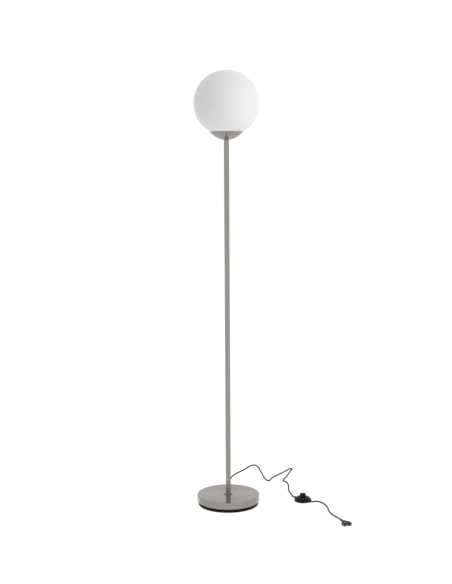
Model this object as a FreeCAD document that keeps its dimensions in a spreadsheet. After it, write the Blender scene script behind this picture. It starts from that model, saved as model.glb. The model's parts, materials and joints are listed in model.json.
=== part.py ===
"""Globe floor lamp: a weighted round base, a three-piece pole, a spun cup and an opal glass globe,
with a bulb in its holder and a lead that runs through a foot switch to its plug.

Millimetres, +Z up. The origin is the centre of the base's underside, on the floor.
"""
import FreeCAD, Part
import math
import os
import Sketcher
from FreeCAD import Placement, Rotation, Vector

os.makedirs("parts", exist_ok=True)
doc = FreeCAD.newDocument("GlobeFloorLamp")

# ---------------------------------------------------------------- driving dimensions
SIZES = {
    # base, from the floor up
    "cover_radius": 122.5, "cover_wall": 1.5, "cover_side": 25, "cover_edge": 3,
    "cover_clearance": 2.5, "tray_wall": 3, "tray_height": 16, "tray_rim": 24, "tray_edge": 2,
    "weight_clearance": 3.5, "weight_height": 22, "weight_edge": 2,
    "pad_radius": 8, "pad_height": 1.5, "pad_inset": 20.5,
    "boss_radius": 9, "boss_inset": 34, "rib_wall": 4, "rib_inset": 8, "hub_gap": 4,
    "base_bolt_radius": 6, "bolt_head_height": 7.5, "bolt_head_flats": 19, "bolt_length": 42,
    "washer_radius": 15, "washer_height": 2.5,
    "base_screw_radius": 2.5, "base_screw_head": 4.7, "base_screw_head_height": 3,
    "base_screw_length": 24, "base_screw_sink": 1, "recess_gap": 0.5,
    # pole
    "flange_radius": 16, "flange_height": 3.5, "flange_edge": 0.8,
    "pole_radius": 10, "pole_wall": 1.2, "section_length": 462,
    "foot_plug_length": 22, "coupler_length": 60, "coupler_bore": 5, "top_plug_length": 20,
    "cord_hole_height": 93, "cord_hole_bearing": 2, "grommet_lip": 3, "grommet_collar": 1.4,
    "grommet_flange": 2.5, "grommet_tail": 1,
    # fits
    "slip": 0.05, "rest_gap": 0.3, "bolt_gap": 0.3, "nipple_gap": 0.1, "insert_gap": 0.2,
    # cup
    "cup_radius": 64.5, "cup_depth": 30, "cup_wall": 1.2, "cup_flat": 12, "cup_crown": 82,
    "cup_blend_angle": 36, "nipple_radius": 5, "nipple_bore": 3.2, "nipple_grip": 16,
    "cup_washer_radius": 11, "cup_washer_height": 1.5, "cup_nut_flats": 16, "cup_nut_height": 4.5,
    "plate_margin": 3.4, "plate_height": 1.2,
    # spring clips
    "clip_width": 10, "clip_strip": 0.8, "clip_gap": 0.5, "clip_foot": 4.4, "clip_shoulder": 8,
    "clip_bulge": 13, "clip_tip": 20, "clip_slope": 1.5, "clip_lead_in": 3, "rivet_radius": 1.5,
    "rivet_head": 2.6, "rivet_head_edge": 0.5, "rivet_head_height": 1.1, "rivet_inset": 4.1,
    # lampholder
    "holder_radius": 20, "holder_wall": 2.4, "holder_floor": 4, "holder_cap_height": 20,
    "holder_ledge": 12, "holder_ledge_width": 2, "holder_foot_edge": 3, "holder_edge": 2,
    "holder_insert_height": 9, "holder_shell_height": 34, "holder_shell_wall": 3.4,
    "mouth_gap": 1.1, "thread_radius": 13.9, "thread_wall": 0.6, "thread_gap": 1,
    "thread_floor": 4, "contact_radius": 4, "contact_height": 1.6, "contact_base": 1.5,
    "contact_base_height": 0.6, "contact_slope": 1, "wire_bore": 3.4,
    "holder_screw_circle": 10, "holder_screw_radius": 1.5, "holder_screw_head": 2.6,
    "holder_screw_head_height": 2, "holder_screw_length": 6, "holder_screw_end_gap": 0.5,
    # bulb
    "bulb_radius": 30, "bulb_length": 105, "bulb_cap_height": 25, "bulb_cap_slip": 0.1,
    "bulb_cap_wall": 0.6, "bulb_cap_cone": 3, "bulb_cap_floor": 1.5, "bulb_insulator": 2,
    "bulb_tip_radius": 5, "bulb_tip_height": 3, "bulb_tip_slope": 1.5, "bulb_tip_edge": 1.2,
    "bulb_neck_step": 1, "bulb_neck_height": 8, "bulb_glass_wall": 1,
    # globe
    "globe_radius": 124, "globe_wall": 2.5, "neck_radius": 42.5, "neck_lift": 1.5,
    # lead
    "cord_radius": 2.8, "inner_cord_bend": 7.5,
    # foot switch
    "switch_x": 297, "switch_y": 27, "switch_bearing": -42,
    "switch_radius": 34, "switch_side": 7.5, "switch_dome": 20, "switch_dome_arc": 30,
    "switch_crown": 15, "switch_wall": 2, "switch_foot_radius": 4.5, "switch_foot_height": 1,
    "switch_foot_circle": 22, "switch_foot_edge": 0.6, "switch_plate_height": 2.2,
    "switch_screw_inset": 8, "switch_screw_radius": 1.2, "switch_screw_head": 2.4,
    "switch_screw_head_height": 1.2, "switch_screw_grip": 4.5, "switch_sink_gap": 0.1,
    "switch_post_radius": 3, "switch_pilot": 5, "switch_post_cap": 2,
    "collar_radius": 4.9, "collar_reach": 6, "switch_cord_height": 6.6,
    "button_radius": 11.8, "button_top": 31.5, "button_wall": 2, "button_edge": 1.5, "button_crown": 0.6,
    "button_flange": 15, "button_flange_height": 2, "button_travel": 4, "button_clearance": 0.3,
    "spring_radius": 5.9, "spring_wire": 1, "spring_boss_height": 5,
    "terminal_gap": 1, "terminal_length": 7, "terminal_width": 12, "terminal_height": 7.3,
    "terminal_screw_radius": 1.6, "terminal_screw_height": 1.5, "terminal_screw_spacing": 6,
    "clamp_gap": 0.5, "clamp_length": 3, "clamp_width": 12, "clamp_bar": 1.2,
    "contact_strip": 0.6, "contact_width": 6, "contact_reach": 7.5,
    # plug
    "relief_length": 24, "relief_end_radius": 3.6, "relief_root_radius": 5,
    "plug_length": 36, "plug_width": 35, "plug_height": 14, "plug_back_width": 15,
    "plug_shoulder": 20, "plug_edge": 2.5, "pin_radius": 2, "pin_length": 19, "pin_spacing": 18.6,
}

# The lead's route, chosen point by point along the photographed cord. Each point is a corner
# that the cord rounds off.
TO_SWITCH = [
    (1.4, 40, 93), (2.4, 70, 78), (3.3, 100, 58), (4.2, 126, 44.2), (5.2, 152, 29.5),
    (6.2, 180, 14), (7.2, 207, 4.8), (8.4, 240, 2.9), (9.4, 276, 2.9), (10.5, 312, 2.9),
    (15, 346, 2.9), (25.5, 377, 2.9), (36.5, 399, 2.9), (50.6, 419, 2.9), (63.5, 440, 2.9),
    (75.5, 462, 2.9), (86, 483, 2.9), (95, 503, 2.9),
    (106, 522.5, 2.9), (122, 520.5, 2.9), (132, 502, 2.9), (138.5, 468, 2.9), (143, 424, 2.9),
    (148.5, 384, 2.9), (152.5, 350, 2.9), (157, 321, 2.9), (162, 303, 2.9), (165.6, 289, 2.9),
    (175.6, 289.3, 2.9), (179.5, 304, 2.9), (187, 327, 2.9), (203, 355, 2.9),
    (219, 378, 2.9), (235, 402, 2.9), (250, 426, 2.9), (263, 448, 2.9), (273.3, 466.5, 2.9),
    (284, 462, 2.9), (278, 444, 2.9), (270, 416, 2.9), (261.8, 388, 2.9), (255, 360, 2.9),
    (247.5, 335, 2.9), (240, 316, 2.9), (232.5, 300, 2.9), (234, 283.5, 2.9),
    (243, 273, 2.9), (250, 255, 2.9), (252, 230, 2.9), (251, 200, 2.9), (249, 168, 2.9),
    (249.5, 140, 2.9), (252.5, 114, 4), (256.5, 93, 5.6), (258.4, 76, 6.6), (259.1, 61.1, 6.6),
]
TO_PLUG = [
    (333.4, -5.8, 6.6), (345, -5.5, 8.8), (357, -6.5, 8.2), (368, -12, 6), (377.5, -23, 4),
    (384, -41, 2.9), (387, -68, 2.9), (387.5, -97, 2.9), (391, -125, 2.9), (397, -155, 4),
    (411, -190, 7),
]
PLUG_POINT = (420, -214, 7)

sheet = doc.addObject("Spreadsheet::Sheet", "D")
for row, (name, size) in enumerate(SIZES.items(), start=1):
    sheet.set(f"A{row}", name)
    sheet.set(f"B{row}", str(size))
    sheet.setAlias(f"B{row}", name)
doc.recompute()

# Radii and heights that several pieces share, as sums of the sizes above.
TRAY_RADIUS = "(D.cover_radius - D.cover_wall - D.cover_clearance)"
WEIGHT_RADIUS = f"({TRAY_RADIUS} - D.tray_wall - D.weight_clearance)"
CLIP_INNER = "(D.holder_radius + D.clip_gap)"
RIVET_CIRCLE = f"({CLIP_INNER} + D.rivet_inset)"
BULB_CAP_RADIUS = "(D.thread_radius - D.thread_wall - D.bulb_cap_slip)"
BULB_NECK_RADIUS = f"({BULB_CAP_RADIUS} + D.bulb_neck_step)"
TERMINAL_START = "(D.button_flange + D.terminal_gap)"
WEIGHT_Z = "(D.pad_height + D.tray_height)"
BASE_TOP = f"({WEIGHT_Z} + D.weight_height + D.cover_wall)"
POLE_TOP = f"({BASE_TOP} + 3 * D.section_length)"
TUBE_BORE = "(D.pole_radius - D.pole_wall)"
CUP_NUT_Z = f"({POLE_TOP} + D.cup_wall + D.cup_washer_height)"
PLATE_Z = f"({CUP_NUT_Z} + D.cup_nut_height)"
HOLDER_Z = f"({PLATE_Z} + D.plate_height)"
THREAD_Z = f"({HOLDER_Z} + D.holder_ledge + D.holder_insert_height)"
BULB_Z = f"({THREAD_Z} + D.contact_height + D.rest_gap)"
GLOBE_Z = (f"({POLE_TOP} + D.cup_depth + sqrt(pow(D.globe_radius + D.rest_gap; 2)"
           " - pow(D.cup_radius - D.cup_wall; 2)))")
SWITCH_PLATE_Z = "D.switch_foot_height"
SWITCH_FLOOR = "(D.switch_foot_height + D.switch_plate_height)"
BUTTON_Z = "(D.switch_dome - D.switch_wall - D.rest_gap - D.button_flange_height)"


# ---------------------------------------------------------------- helpers
def number(expression):
    """The value of an expression in the sheet's sizes."""
    result = sheet.evalExpression(str(expression))
    return float(getattr(result, "Value", result))


def place(piece, x="0", y="0", z="0", bearing=None):
    """Stand a piece at a point, turned about its own Z axis by a bearing in degrees."""
    if bearing is not None:
        piece.Placement = Placement(Vector(), Rotation(Vector(0, 0, 1), 1))
        piece.setExpression("Placement.Rotation.Angle", bearing)
    for axis, expression in zip("xyz", (x, y, z)):
        piece.setExpression(f"Placement.Base.{axis}", expression)
    return piece


def at_switch(piece, z="0"):
    """Stand a piece in the foot switch, whose X axis runs along the lead."""
    return place(piece, "D.switch_x", "D.switch_y", z, "D.switch_bearing")


def body_plane(body, role):
    """One of a body's own origin planes."""
    return next(item for item in body.Origin.OriginFeatures if item.Role == role)


def arc_centre(start, end, radius):
    """The centre of an arc from start to end; a positive radius runs anticlockwise."""
    chord = end - start
    reach = math.sqrt(max(radius * radius - chord.Length ** 2 / 4, 0))
    left = Vector(-chord.y, chord.x, 0).normalize() * math.copysign(reach, radius)
    return (start + end) * 0.5 + left


def outlined(body, outline, role):
    """A closed sketch through corners (across, up) or (across, up, radius of the arc to it)."""
    sketch = body.newObject("Sketcher::SketchObject", body.Name + "_outline")
    sketch.AttachmentSupport = [(body_plane(body, role), "")]
    sketch.MapMode = "FlatFace"
    corners = [Vector(number(corner[0]), number(corner[1]), 0) for corner in outline]
    starts, ends = [], []
    for index, start in enumerate(corners):
        following = (index + 1) % len(corners)
        end = corners[following]
        if len(outline[following]) == 2:
            sketch.addGeometry(Part.LineSegment(start, end))
            starts.append(1)
            ends.append(2)
            continue
        radius = number(outline[following][2])
        first, last = (start, end) if radius > 0 else (end, start)
        centre = arc_centre(start, end, radius)
        circle = Part.Circle(centre, Vector(0, 0, 1), abs(radius))
        angles = [math.atan2(*(point - centre)[1::-1]) for point in (first, last)]
        sketch.addGeometry(Part.ArcOfCircle(circle, angles[0], angles[1]))
        starts.append(1 if radius > 0 else 2)
        ends.append(2 if radius > 0 else 1)
    for index, corner in enumerate(outline):
        before = index - 1 if index else len(outline) - 1
        sketch.addConstraint(Sketcher.Constraint(
            "Coincident", before, ends[before], index, starts[index]))
        if corner[0] == "0":
            sketch.addConstraint(Sketcher.Constraint("PointOnObject", index, starts[index], -2))
        else:
            bound(sketch, "DistanceX", index, starts[index], corner[0])
        if corner[1] == "0":
            sketch.addConstraint(Sketcher.Constraint("PointOnObject", index, starts[index], -1))
        else:
            bound(sketch, "DistanceY", index, starts[index], corner[1])
        if len(corner) == 3:
            radius = f"abs({corner[2]})"
            added = sketch.addConstraint(
                Sketcher.Constraint("Radius", before, number(radius)))
            sketch.setExpression(f"Constraints[{added}]", radius)
    return sketch


def bound(sketch, kind, geometry, end, expression):
    """Hold one end of a line at a distance from the sketch's origin."""
    added = sketch.addConstraint(
        Sketcher.Constraint(kind, -1, 1, geometry, end, number(expression)))
    sketch.setExpression(f"Constraints[{added}]", expression)


def turned(label, outline):
    """A body turned about Z from an outline of (radius, height) corners."""
    body = doc.addObject("PartDesign::Body", label)
    body.Label = label
    sketch = outlined(body, outline, "XZ_Plane")
    revolution = body.newObject("PartDesign::Revolution", label + "_turning")
    revolution.Profile = sketch
    revolution.ReferenceAxis = (sketch, ["V_Axis"])
    revolution.Angle = 360
    return body


def padded(label, outline, thickness, role="XZ_Plane"):
    """A body of even thickness, half to each side of the plane that its outline lies in."""
    body = doc.addObject("PartDesign::Body", label)
    body.Label = label
    sketch = outlined(body, outline, role)
    pad = body.newObject("PartDesign::Pad", label + "_pad")
    pad.Profile = sketch
    pad.Midplane = True
    pad.setExpression("Length", thickness)
    return body


def ring(label, inner, outer, height):
    """A flat ring or a sleeve that stands on its lower face."""
    return turned(label, [(inner, "0"), (outer, "0"), (outer, height), (inner, height)])


def cylinder(label, radius, height):
    """A plain round rod that stands on its lower face."""
    piece = doc.addObject("Part::Cylinder", label)
    piece.setExpression("Radius", radius)
    piece.setExpression("Height", height)
    return piece


def box(label, length, width, height):
    """A block that starts at its own origin."""
    piece = doc.addObject("Part::Box", label)
    for name, expression in (("Length", length), ("Width", width), ("Height", height)):
        piece.setExpression(name, expression)
    return piece


def joined(label, pieces):
    """One solid fused from several."""
    piece = doc.addObject("Part::MultiFuse", label)
    piece.Label = label
    piece.Shapes = pieces
    piece.Refine = True
    return piece


def group(label, pieces):
    """Separate solids that share one node."""
    piece = doc.addObject("Part::Compound", label)
    piece.Label = label
    piece.Links = pieces
    return piece


def less(label, piece, tools):
    """A piece with tools cut out of it."""
    tool = tools[0] if len(tools) == 1 else joined(label + "_tools", tools)
    result = doc.addObject("Part::Cut", label)
    result.Label = label
    result.Base = piece
    result.Tool = tool
    return result


def on_circle(radius, angle):
    """The X and Y of a point on a circle about Z, as expressions."""
    return f"({radius}) * cos({angle})", f"({radius}) * sin({angle})"


def screw(label, head_radius, head_height, radius, length):
    """A pan-head screw, head down, standing on its head."""
    shank = f"{head_height} + {length}"
    return turned(label, [("0", "0"), (head_radius, "0"), (head_radius, head_height),
                          (radius, head_height), (radius, shank), ("0", shank)])


def hexagon(label, flats, bore, height):
    """A hexagon nut that stands on its lower face."""
    prism = doc.addObject("Part::Prism", label + "_hexagon")
    prism.Polygon = 6
    prism.setExpression("Circumradius", f"{flats} / sqrt(3)")
    prism.setExpression("Height", height)
    return less(label, prism, [cylinder(label + "_bore", bore, height)])


nodes = []


def node(piece):
    """Keep a finished piece as a node of its own."""
    nodes.append(piece)
    return piece


# ---------------------------------------------------------------- base
def make_base():
    pads = []
    for index in range(6):
        x, y = on_circle(f"{TRAY_RADIUS} - D.pad_inset", 30 + 60 * index)
        pad = cylinder(f"base_pad_{index + 1}", "D.pad_radius", "D.pad_height")
        pads.append(place(pad, x, y))
    node(group("base_pads", pads))

    tray_inside = f"({TRAY_RADIUS} - D.tray_wall)"
    dish = turned("tray_dish", [
        ("0", "0"), (f"{TRAY_RADIUS} - D.tray_edge", "0"),
        (TRAY_RADIUS, "D.tray_edge", "D.tray_edge"), (TRAY_RADIUS, "D.tray_rim"),
        (tray_inside, "D.tray_rim"), (tray_inside, "D.tray_wall"), ("0", "D.tray_wall")])
    rib_outside = f"{WEIGHT_RADIUS} - D.rib_inset"
    rib = ring("tray_rib", f"{rib_outside} - D.rib_wall", rib_outside, "D.tray_height")
    hub_inside = "D.washer_radius + D.hub_gap"
    hub = ring("tray_hub", hub_inside, f"{hub_inside} + D.rib_wall", "D.tray_height")
    solids, holes, screws, threads = [dish, rib, hub], [], [], []
    for index in range(4):
        x, y = on_circle(f"{WEIGHT_RADIUS} - D.boss_inset", 90 * index)
        boss = cylinder(f"tray_boss_{index + 1}", "D.boss_radius", "D.tray_height")
        solids.append(place(boss, x, y))
        recess = cylinder(f"tray_recess_{index + 1}", "D.base_screw_head + D.recess_gap",
                          "D.base_screw_head_height + D.base_screw_sink")
        holes.append(place(recess, x, y))
        hole = cylinder(f"tray_hole_{index + 1}", "D.base_screw_radius + D.bolt_gap",
                        "D.tray_height")
        holes.append(place(hole, x, y))
        fixing = screw(f"base_screw_{index + 1}", "D.base_screw_head",
                       "D.base_screw_head_height", "D.base_screw_radius", "D.base_screw_length")
        screws.append(place(fixing, x, y, "D.pad_height + D.base_screw_sink"))
        thread = cylinder(f"weight_thread_{index + 1}", "D.base_screw_radius + D.slip",
                          "D.base_screw_length + D.base_screw_head_height"
                          " + 2 * D.base_screw_sink - D.tray_height")
        threads.append(place(thread, x, y))
    tray = less("base_tray", joined("tray_solid", solids), holes)
    node(place(tray, z="D.pad_height"))
    node(group("base_screws", screws))

    clearance = "D.base_bolt_radius + D.bolt_gap"
    flat = f"{WEIGHT_RADIUS} - D.weight_edge"
    disc = turned("weight_disc", [
        (clearance, "0"), (flat, "0"), (WEIGHT_RADIUS, "D.weight_edge"),
        (WEIGHT_RADIUS, "D.weight_height - D.weight_edge"), (flat, "D.weight_height"),
        (clearance, "D.weight_height")])
    node(place(less("base_weight", disc, threads), z=WEIGHT_Z))

    inner_edge = "(D.cover_edge - D.cover_wall)"
    inside = "(D.cover_radius - D.cover_wall)"
    under = "(D.cover_side - D.cover_wall)"
    cover = turned("base_cover", [
        (clearance, under), (f"{inside} - {inner_edge}", under),
        (inside, f"{under} - {inner_edge}", f"0 - {inner_edge}"), (inside, "0"),
        ("D.cover_radius", "0"), ("D.cover_radius", "D.cover_side - D.cover_edge"),
        ("D.cover_radius - D.cover_edge", "D.cover_side", "D.cover_edge"),
        (clearance, "D.cover_side")])
    node(place(cover, z=f"{BASE_TOP} - D.cover_side"))

    washer = ring("base_washer", "D.base_bolt_radius + D.slip", "D.washer_radius",
                  "D.washer_height")
    node(place(washer, z=f"{WEIGHT_Z} - D.washer_height"))
    head = doc.addObject("Part::Prism", "base_bolt_head")
    head.Polygon = 6
    head.setExpression("Circumradius", "D.bolt_head_flats / sqrt(3)")
    head.setExpression("Height", "D.bolt_head_height")
    shank = cylinder("base_bolt_shank", "D.base_bolt_radius",
                     "D.bolt_head_height + D.bolt_length")
    bolt = joined("base_bolt", [head, shank])
    node(place(bolt, z=f"{WEIGHT_Z} - D.washer_height - D.bolt_head_height"))


# ---------------------------------------------------------------- pole
def make_pole():
    bore = "D.pole_radius + D.slip"
    flange = turned("pole_flange", [
        (bore, "0"), ("D.flange_radius", "0"),
        ("D.flange_radius", "D.flange_height - D.flange_edge"),
        ("D.flange_radius - D.flange_edge", "D.flange_height", "D.flange_edge"),
        (bore, "D.flange_height")])
    node(place(flange, z=BASE_TOP))

    inside = f"{TUBE_BORE} - D.slip"
    foot_plug = ring("pole_foot_plug", "D.base_bolt_radius + D.slip", inside,
                     "D.foot_plug_length")
    node(place(foot_plug, z=BASE_TOP))

    drill = cylinder("cord_hole", "D.cord_radius + D.grommet_collar", "D.pole_radius * 2")
    aim_at_cord(drill, "0", "D.cord_hole_height")
    for index, label in enumerate(("pole_lower", "pole_middle", "pole_upper")):
        bottom = f"{BASE_TOP} + {index} * D.section_length"
        if index:
            tube = ring(label, TUBE_BORE, "D.pole_radius", "D.section_length")
            node(place(tube, z=bottom))
        else:
            tube = ring("pole_lower_tube", TUBE_BORE, "D.pole_radius", "D.section_length")
            place(tube, z=bottom)
            node(less(label, tube, [drill]))
    for index, label in enumerate(("lower_coupler", "upper_coupler"), start=1):
        coupler = ring(label, "D.coupler_bore", inside, "D.coupler_length")
        node(place(coupler, z=f"{BASE_TOP} + {index} * D.section_length"
                              " - D.coupler_length / 2"))
    top_plug = ring("pole_top_plug", "D.nipple_radius + D.slip", inside, "D.top_plug_length")
    node(place(top_plug, z=f"{POLE_TOP} - D.top_plug_length"))

    sleeve = cylinder("grommet_sleeve", "D.cord_radius + D.grommet_collar - D.slip",
                      "D.grommet_tail + D.pole_wall + D.grommet_lip")
    aim_at_cord(sleeve, f"{TUBE_BORE} - D.grommet_tail", "D.cord_hole_height")
    collar = cylinder("grommet_collar_rod", "D.cord_radius + D.grommet_flange",
                      "D.grommet_lip + D.pole_wall")
    aim_at_cord(collar, TUBE_BORE, "D.cord_hole_height")
    saddle = cylinder("grommet_saddle", "D.pole_radius + D.slip", "D.cord_hole_height * 2")
    lip = less("grommet_lip", collar, [saddle])
    channel = cylinder("grommet_channel", "D.cord_radius + D.slip", "D.pole_radius * 3")
    aim_at_cord(channel, "0", "D.cord_hole_height")
    node(less("cord_grommet", joined("grommet_body", [sleeve, lip]), [channel]))


def aim_at_cord(piece, start, height):
    """Lay a rod level, from a distance off the pole's axis, towards where the cord leaves."""
    piece.Placement = Placement(Vector(), Rotation(Vector(0, 0, 1), Vector(0, 1, 0)))
    spin = Rotation(Vector(0, 0, 1), -number("D.cord_hole_bearing"))
    piece.Placement = Placement(Vector(), spin.multiply(piece.Placement.Rotation))
    piece.setExpression("Placement.Base.x", f"({start}) * sin(D.cord_hole_bearing)")
    piece.setExpression("Placement.Base.y", f"({start}) * cos(D.cord_hole_bearing)")
    piece.setExpression("Placement.Base.z", height)


# ---------------------------------------------------------------- cup and its fixing
def cup_profile(offset, flat):
    """Corners of one side of the cup, from its flat bottom to its rim, offset inwards.

    A shallow crown arc runs into a tighter one, tangent to it, that ends at the rim.
    """
    crown = "D.cup_crown"
    centre_z = f"sqrt(pow({crown}; 2) - pow(D.cup_flat; 2))"
    angle = "D.cup_blend_angle"
    rim_z = "D.cup_depth"
    drop = f"({centre_z} - {rim_z})"
    # distance between the two arcs' centres, from the rim lying on the second arc
    shift = (f"((pow({crown}; 2) - pow(D.cup_radius; 2) - pow({drop}; 2))"
             f" / (2 * ({crown} - D.cup_radius * sin({angle}) - {drop} * cos({angle}))))")
    second = f"({crown} - {shift} - {offset})"
    join = (f"({crown} - {offset}) * sin({angle})",
            f"{centre_z} - ({crown} - {offset}) * cos({angle})", f"({crown} - {offset})")
    rim_across = (f"{shift} * sin({angle}) + sqrt(pow({second}; 2)"
                  f" - pow({centre_z} - {shift} * cos({angle}) - {rim_z}; 2))")
    return [flat, join, (rim_across, rim_z, second)]


def make_cup():
    hole = "D.nipple_radius + D.nipple_gap"
    outer = cup_profile("0", ("D.cup_flat", "0"))
    crown = "(D.cup_crown - D.cup_wall)"
    height = "(sqrt(pow(D.cup_crown; 2) - pow(D.cup_flat; 2)) - D.cup_wall)"
    inner_flat = f"sqrt(pow({crown}; 2) - pow({height}; 2))"
    inner = cup_profile("D.cup_wall", (inner_flat, "D.cup_wall"))
    back = [inner[2][:2], inner[1][:2] + (f"0 - {inner[2][2]}",),
            inner[0] + (f"0 - {inner[1][2]}",)]
    cup = turned("cup", [(hole, "0")] + outer + back + [(hole, "D.cup_wall")])
    node(place(cup, z=POLE_TOP))

    nipple = ring("top_nipple", "D.nipple_bore", "D.nipple_radius",
                  f"D.nipple_grip + {HOLDER_Z} + D.holder_floor - {POLE_TOP}")
    node(place(nipple, z=f"{POLE_TOP} - D.nipple_grip"))
    washer = ring("cup_washer", "D.nipple_radius + D.slip", "D.cup_washer_radius",
                  "D.cup_washer_height")
    node(place(washer, z=f"{POLE_TOP} + D.cup_wall"))
    nut = hexagon("cup_nut", "D.cup_nut_flats", "D.nipple_radius + D.slip", "D.cup_nut_height")
    node(place(nut, z=CUP_NUT_Z))

    thickness = "D.clip_strip"
    reach = "(D.neck_radius - D.globe_wall - D.rest_gap)"
    shoulder, tip = f"{reach} - D.clip_slope", f"{reach} - D.clip_lead_in"
    bend = f"{RIVET_CIRCLE} + D.clip_foot"
    clips, rivets, holes = [], [], []
    for index in range(3):
        bearing = str(30 + 120 * index)
        clip = padded(f"spring_clip_{index + 1}", [
            (CLIP_INNER, "0"), (bend, "0"), (shoulder, "D.clip_shoulder"),
            (reach, "D.clip_bulge"), (tip, "D.clip_tip"), (f"{tip} - {thickness}", "D.clip_tip"),
            (f"{reach} - {thickness}", "D.clip_bulge"),
            (f"{shoulder} - {thickness}", "D.clip_shoulder"),
            (f"{bend} - {thickness} / 2", thickness), (CLIP_INNER, thickness)],
            "D.clip_width")
        x, y = on_circle(RIVET_CIRCLE, bearing)
        hole = cylinder(f"clip_hole_{index + 1}", "D.rivet_radius + D.slip", f"{thickness} * 3")
        place(hole, x, y, f"{HOLDER_Z} - {thickness}")
        holes.append(hole)
        place(clip, z=HOLDER_Z, bearing=bearing)
        clips.append(less(f"spring_clip_{index + 1}_drilled", clip, [hole]))
        grip = f"D.plate_height + {thickness}"
        rivet = turned(f"clip_rivet_{index + 1}", [
            ("0", "0"), ("D.rivet_radius", "0"), ("D.rivet_radius", grip),
            ("D.rivet_head", grip), ("D.rivet_head", f"{grip} + D.rivet_head_edge"),
            ("D.rivet_radius", f"{grip} + D.rivet_head_height"),
            ("0", f"{grip} + D.rivet_head_height")])
        rivets.append(place(rivet, x, y, PLATE_Z))
    node(group("spring_clips", clips))
    node(group("clip_rivets", rivets))
    disc = ring("clip_disc", "D.nipple_radius + D.slip", f"{RIVET_CIRCLE} + D.plate_margin",
                "D.plate_height")
    place(disc, z=PLATE_Z)
    drills = []
    for index in range(3):
        x, y = on_circle(RIVET_CIRCLE, 30 + 120 * index)
        drill = cylinder(f"plate_drill_{index + 1}", "D.rivet_radius + D.slip",
                         "D.plate_height")
        drills.append(place(drill, x, y, PLATE_Z))
    node(less("clip_plate", disc, drills))


# ---------------------------------------------------------------- lampholder and bulb
def make_lampholder():
    inside = "(D.holder_radius - D.holder_wall)"
    ledge_inside = f"{inside} - D.holder_ledge_width"
    cap = turned("holder_cap", [
        ("D.nipple_radius + D.slip", "0"), ("D.holder_radius - D.holder_foot_edge", "0"),
        ("D.holder_radius", "D.holder_foot_edge", "D.holder_foot_edge"),
        ("D.holder_radius", "D.holder_cap_height"),
        (inside, "D.holder_cap_height"), (inside, "D.holder_ledge"),
        (ledge_inside, "D.holder_ledge"), (ledge_inside, "D.holder_floor"),
        ("D.nipple_radius + D.slip", "D.holder_floor")])
    node(place(cap, z=HOLDER_Z))

    body = ring("insert_body", "D.wire_bore", f"{inside} - D.insert_gap",
                "D.holder_insert_height")
    place(body, z=f"{HOLDER_Z} + D.holder_ledge")
    holes, screws = [], []
    for index, angle in enumerate((0, 180)):
        x, y = on_circle("D.holder_screw_circle", angle)
        hole = cylinder(f"insert_hole_{index + 1}", "D.holder_screw_radius + D.slip",
                        "D.holder_screw_length + D.holder_screw_end_gap")
        holes.append(place(hole, x, y, f"{HOLDER_Z} + D.holder_ledge"))
        fixing = screw(f"holder_screw_{index + 1}", "D.holder_screw_head",
                       "D.holder_screw_head_height", "D.holder_screw_radius",
                       "D.holder_screw_length")
        screws.append(place(fixing, x, y,
                            f"{HOLDER_Z} + D.holder_ledge - D.holder_screw_head_height"))
    node(less("holder_insert", body, holes))
    node(group("holder_screws", screws))

    thread_inside = "(D.thread_radius - D.thread_wall)"
    floor_inside = f"{thread_inside} - D.thread_floor"
    thread_top = "D.bulb_cap_height - D.thread_gap"
    thread = turned("holder_thread", [
        (floor_inside, "0"), ("D.thread_radius", "0"), ("D.thread_radius", thread_top),
        (thread_inside, thread_top), (thread_inside, "D.thread_wall"),
        (floor_inside, "D.thread_wall")])
    node(place(thread, z=THREAD_Z))
    foot = "D.contact_radius + D.contact_base"
    contact = turned("holder_contact", [
        ("0", "0"), (foot, "0"), (foot, "D.contact_base_height"),
        ("D.contact_radius", "D.contact_base_height"),
        ("D.contact_radius - D.contact_slope", "D.contact_height"), ("0", "D.contact_height")])
    node(place(contact, z=THREAD_Z))

    ledge = "D.holder_ledge + D.holder_insert_height - D.holder_cap_height"
    mouth = f"{BULB_NECK_RADIUS} + D.mouth_gap"
    bore = "D.holder_radius - D.holder_shell_wall"
    lip = "D.holder_shell_height - D.holder_edge"
    shell = turned("holder_shell", [
        (inside, "0"), ("D.holder_radius", "0"), ("D.holder_radius", lip),
        ("D.holder_radius - D.holder_edge", "D.holder_shell_height", "D.holder_edge"),
        (mouth, "D.holder_shell_height"), (mouth, lip), (bore, f"{lip} - D.holder_edge / 2"),
        (bore, ledge), (inside, ledge)])
    node(place(shell, z=f"{HOLDER_Z} + D.holder_cap_height"))


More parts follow.
